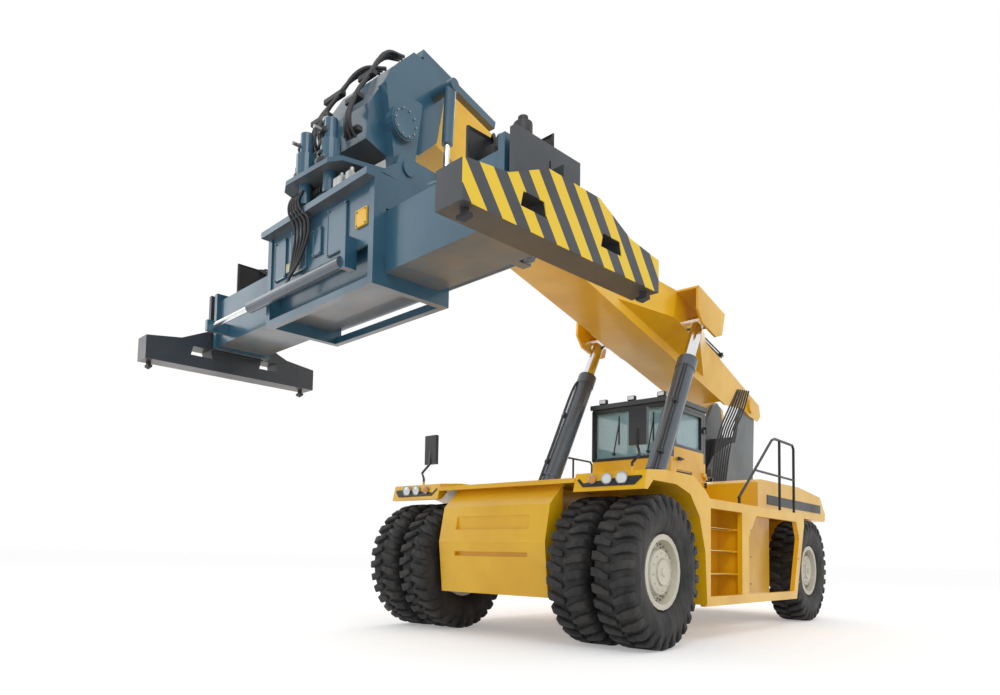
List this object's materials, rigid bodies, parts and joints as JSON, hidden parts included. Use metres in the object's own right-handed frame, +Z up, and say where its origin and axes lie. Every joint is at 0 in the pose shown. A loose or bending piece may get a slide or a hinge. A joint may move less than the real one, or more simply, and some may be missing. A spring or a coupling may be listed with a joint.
{
  "type": "container reach stacker",
  "caption": "Wheeled machine that lifts freight containers with a luffing, telescopic boom and a slewing, sliding, telescopic top spreader with twistlocks",
  "frame": {"origin": "on the ground at the middle of the box of the whole machine", "axes": "+Z up, +Y to the rear of the machine, +X to its side; the machine drives towards -Y"},
  "size_m": [6.2124, 13.188, 7.102],
  "materials": {
    "yellow_paint": "gloss yellow paint",
    "blue_paint": "dark blue-green paint",
    "charcoal_paint": "dark grey paint",
    "tower_paint": "mid grey paint",
    "cylinder_paint": "grey-blue paint",
    "chrome": "polished hard chrome",
    "iron": "dark cast steel",
    "tyre": "black tyre rubber",
    "rim_paint": "ivory paint",
    "black_plastic": "black",
    "seat_fabric": "black cloth",
    "glass": "green-blue tinted glass"
  },
  "bodies": {
    "chassis": {"chassis_frame": "yellow_paint", "front_body": "yellow_paint", "fender_right": "yellow_paint", "fender_left": "yellow_paint", "front_axle": "yellow_paint", "rear_axle": "yellow_paint", "rear_hood": "yellow_paint", "counterweight": "yellow_paint", "engine_block": "iron", "side_frame_right": "yellow_paint", "side_frame_left": "yellow_paint", "fuel_tank": "yellow_paint", "hydraulic_tank": "yellow_paint", "handrail_right": "black_plastic", "handrail_left": "black_plastic", "boom_tower": "tower_paint", "cab_shell": "yellow_paint", "cab_roof": "charcoal_paint", "cab_glass": "glass", "driver_seat": "seat_fabric", "steering_column": "black_plastic"},
    "door": {"cab_door": "yellow_paint", "door_glass": "glass"},
    "main_boom": {"outer_boom": "yellow_paint"},
    "top_boom": {"inner_boom": "yellow_paint", "boom_nose": "blue_paint"},
    "head": {"slew_platform": "blue_paint"},
    "rotator": {"side_shift_frame": "blue_paint", "side_shift_barrel": "cylinder_paint"},
    "spreader": {"main_beam": "blue_paint", "side_shift_rod": "chrome", "extension_barrel": "cylinder_paint"},
    "right_end": {"end_frame_right": "charcoal_paint", "extension_rod": "chrome"},
    "left_end": {"end_frame_left": "charcoal_paint"},
    "twistlock_right_front": {"twistlock_right_front": "iron"},
    "twistlock_right_rear": {"twistlock_right_rear": "iron"},
    "twistlock_left_front": {"twistlock_left_front": "iron"},
    "twistlock_left_rear": {"twistlock_left_rear": "iron"},
    "lift_barrel_right": {"lift_barrel_right": "cylinder_paint"},
    "lift_rod_right": {"lift_rod_right": "chrome"},
    "damping_barrel_right": {"damping_barrel_right": "blue_paint"},
    "damping_rod_right": {"damping_rod_right": "chrome"},
    "front_wheel_right": {"front_tyre_right_inner": "tyre", "front_tyre_right_outer": "tyre", "front_rim_right": "rim_paint"},
    "knuckle_right": {"steering_knuckle_right": "iron"},
    "rear_wheel_right": {"rear_tyre_right": "tyre", "rear_rim_right": "rim_paint"},
    "lift_barrel_left": {"lift_barrel_left": "cylinder_paint"},
    "lift_rod_left": {"lift_rod_left": "chrome"},
    "damping_barrel_left": {"damping_barrel_left": "blue_paint"},
    "damping_rod_left": {"damping_rod_left": "chrome"},
    "front_wheel_left": {"front_tyre_left_inner": "tyre", "front_tyre_left_outer": "tyre", "front_rim_left": "rim_paint"},
    "knuckle_left": {"steering_knuckle_left": "iron"},
    "rear_wheel_left": {"rear_tyre_left": "tyre", "rear_rim_left": "rim_paint"}
  },
  "joints": [
    {"name": "boom_luff", "type": "hinge", "parent": "chassis", "child": "main_boom", "pos_m": [0, 5.494, 4.38], "axis": [1, 0, 0], "range_deg": [-47, 11]},
    {"name": "boom_extend", "type": "slide", "parent": "main_boom", "child": "top_boom", "axis": [0, -0.9816, 0.1908], "range_m": [0, 6]},
    {"name": "head_pendulum", "type": "hinge", "parent": "top_boom", "child": "head", "pos_m": [0, -4.916, 5.23], "axis": [1, 0, 0], "range_deg": [-12, 48]},
    {"name": "spreader_slew", "type": "hinge", "parent": "head", "child": "rotator", "pos_m": [0, -5.126, 4.97], "axis": [0, 0, -1], "range_deg": [-199.4, 100.6]},
    {"name": "side_shift", "type": "slide", "parent": "rotator", "child": "spreader", "axis": [0.9971, -0.0767, 0], "range_m": [-0.8, 0.8]},
    {"name": "right_telescope", "type": "slide", "parent": "spreader", "child": "right_end", "axis": [0.9971, -0.0767, 0], "range_m": [0, 3.066]},
    {"name": "left_telescope", "type": "slide", "parent": "spreader", "child": "left_end", "axis": [-0.9971, 0.0767, 0], "range_m": [0, 3.066]},
    {"name": "twistlock_right_front_turn", "type": "hinge", "parent": "right_end", "child": "twistlock_right_front", "pos_m": [2.83122, -6.47669, 3.5], "axis": [0, 0, 1], "range_deg": [0, 90]},
    {"name": "twistlock_right_rear_turn", "type": "hinge", "parent": "right_end", "child": "twistlock_right_rear", "pos_m": [3.00453, -4.22435, 3.5], "axis": [0, 0, 1], "range_deg": [0, 90]},
    {"name": "twistlock_left_front_turn", "type": "hinge", "parent": "left_end", "child": "twistlock_left_front", "pos_m": [-3.00453, -6.02765, 3.5], "axis": [0, 0, 1], "range_deg": [0, 90]},
    {"name": "twistlock_left_rear_turn", "type": "hinge", "parent": "left_end", "child": "twistlock_left_rear", "pos_m": [-2.83122, -3.77531, 3.5], "axis": [0, 0, 1], "range_deg": [0, 90]},
    {"name": "cab_door_swing", "type": "hinge", "parent": "chassis", "child": "door", "pos_m": [0.765, 2.404, 3], "axis": [0, 0, 1], "range_deg": [0, 80]},
    {"name": "lift_foot_right", "type": "hinge", "parent": "chassis", "child": "lift_barrel_right", "pos_m": [0.954, -0.836, 0.75], "axis": [1, 0, 0], "range_deg": [-1, 1]},
    {"name": "lift_stroke_right", "type": "slide", "parent": "lift_barrel_right", "child": "lift_rod_right", "axis": [0, 0.4969, 0.8678], "range_m": [-0.75, 3]},
    {"name": "damper_top_right", "type": "hinge", "parent": "top_boom", "child": "damping_barrel_right", "pos_m": [0.69, -4.356, 6.4], "axis": [1, 0, 0], "range_deg": [-12, 3]},
    {"name": "damper_stroke_right", "type": "slide", "parent": "damping_barrel_right", "child": "damping_rod_right", "axis": [0, -0.053, -0.9986], "range_m": [-0.36, 0.1]},
    {"name": "front_wheel_right_roll", "type": "hinge", "parent": "chassis", "child": "front_wheel_right", "pos_m": [1.9, -1.956, 0.9375], "axis": [1, 0, 0], "continuous": true},
    {"name": "steering_right", "type": "hinge", "parent": "chassis", "child": "knuckle_right", "pos_m": [1.25, 4.544, 0.9375], "axis": [0, 0, 1], "range_deg": [-50, 50]},
    {"name": "rear_wheel_right_roll", "type": "hinge", "parent": "knuckle_right", "child": "rear_wheel_right", "pos_m": [1.62, 4.544, 0.9375], "axis": [1, 0, 0], "continuous": true},
    {"name": "lift_foot_left", "type": "hinge", "parent": "chassis", "child": "lift_barrel_left", "pos_m": [-0.954, -0.836, 0.75], "axis": [1, 0, 0], "range_deg": [-1, 1]},
    {"name": "lift_stroke_left", "type": "slide", "parent": "lift_barrel_left", "child": "lift_rod_left", "axis": [0, 0.4969, 0.8678], "range_m": [-0.75, 3]},
    {"name": "damper_top_left", "type": "hinge", "parent": "top_boom", "child": "damping_barrel_left", "pos_m": [-0.69, -4.356, 6.4], "axis": [1, 0, 0], "range_deg": [-12, 3]},
    {"name": "damper_stroke_left", "type": "slide", "parent": "damping_barrel_left", "child": "damping_rod_left", "axis": [0, -0.053, -0.9986], "range_m": [-0.36, 0.1]},
    {"name": "front_wheel_left_roll", "type": "hinge", "parent": "chassis", "child": "front_wheel_left", "pos_m": [-1.9, -1.956, 0.9375], "axis": [1, 0, 0], "continuous": true},
    {"name": "steering_left", "type": "hinge", "parent": "chassis", "child": "knuckle_left", "pos_m": [-1.25, 4.544, 0.9375], "axis": [0, 0, 1], "range_deg": [-50, 50]},
    {"name": "rear_wheel_left_roll", "type": "hinge", "parent": "knuckle_left", "child": "rear_wheel_left", "pos_m": [-1.62, 4.544, 0.9375], "axis": [1, 0, 0], "continuous": true}
  ],
  "couplings": [
    {"joint": "head_pendulum", "follows": "boom_luff", "ratio": -1},
    {"joint": "twistlock_right_rear_turn", "follows": "twistlock_right_front_turn", "ratio": 1},
    {"joint": "twistlock_left_front_turn", "follows": "twistlock_right_front_turn", "ratio": 1},
    {"joint": "twistlock_left_rear_turn", "follows": "twistlock_right_front_turn", "ratio": 1},
    {"joint": "lift_foot_right", "follows": "boom_luff", "ratio": 0.01},
    {"joint": "lift_stroke_right", "follows": "boom_luff", "m_per_rad": -3.56},
    {"joint": "damper_top_right", "follows": "boom_luff", "ratio": 0.25},
    {"joint": "damper_stroke_right", "follows": "boom_luff", "m_per_rad": 0.42},
    {"joint": "lift_foot_left", "follows": "boom_luff", "ratio": 0.01},
    {"joint": "lift_stroke_left", "follows": "boom_luff", "m_per_rad": -3.56},
    {"joint": "damper_top_left", "follows": "boom_luff", "ratio": 0.25},
    {"joint": "damper_stroke_left", "follows": "boom_luff", "m_per_rad": 0.42},
    {"joint": "steering_left", "follows": "steering_right", "ratio": 1}
  ]
}
